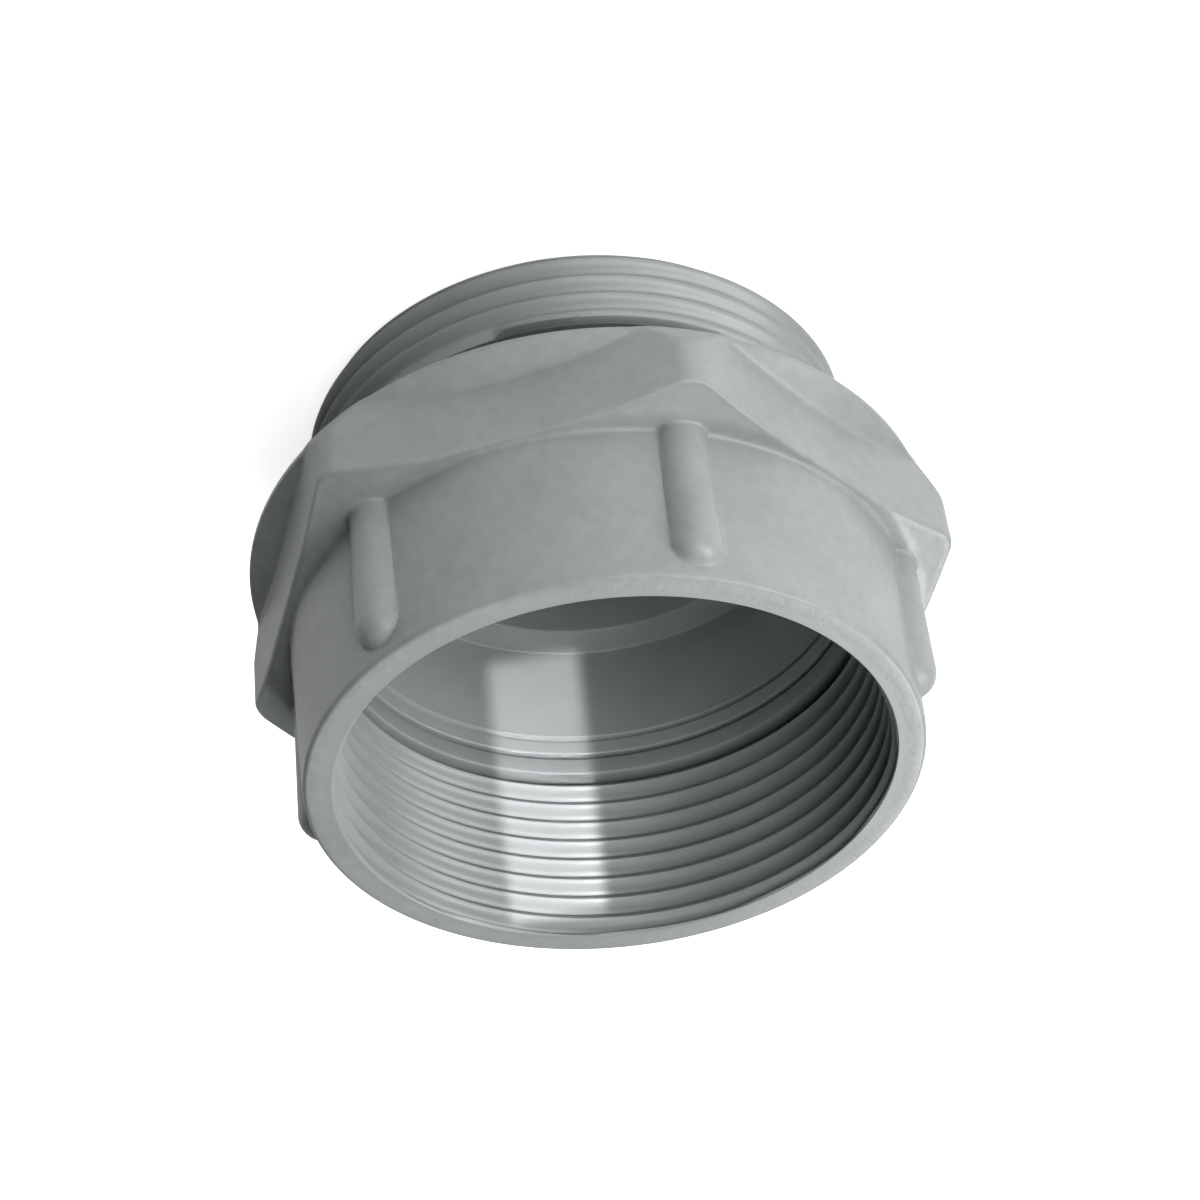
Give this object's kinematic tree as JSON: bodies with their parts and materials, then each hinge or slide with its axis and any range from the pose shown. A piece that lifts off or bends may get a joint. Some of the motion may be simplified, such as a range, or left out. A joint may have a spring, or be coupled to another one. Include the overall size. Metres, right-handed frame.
{
  "type": "pipe union",
  "caption": "Swivel union half: ribbed hex-collared union nut with a threaded socket, turning on a male-threaded tailpiece with a face gasket.",
  "frame": {"origin": "centre of the tailpiece's lower end face, which the part stands on", "axes": "+Z along the common axis of both threads, from the male thread to the nut's mouth; +X normal to one hex flat; +Y through one hex corner"},
  "size_m": [0.0456, 0.0484, 0.0296],
  "materials": {
    "grey_plastic": "semi-gloss moulded light grey engineering plastic",
    "dark_rubber": "smooth black elastomer",
    "grey_rubber": "matt grey sheet rubber",
    "pale_acetal": "satin off-white acetal",
    "spring_steel": "bright stamped spring steel"
  },
  "bodies": {
    "tail": {"tailpiece": "grey_plastic", "sealing_ring": "dark_rubber", "snap_ring": "spring_steel", "face_gasket": "grey_rubber"},
    "slip_ring": {"slip_ring": "pale_acetal"},
    "nut": {"swivel_nut": "grey_plastic"}
  },
  "joints": [
    {"name": "nut_float", "type": "slide", "parent": "tail", "child": "slip_ring", "axis": [0, 0, 1], "range_m": [0, 0.0003]},
    {"name": "nut_spin", "type": "hinge", "parent": "slip_ring", "child": "nut", "pos_m": [0, 0, 0.0125], "axis": [0, 0, 1], "continuous": true}
  ]
}
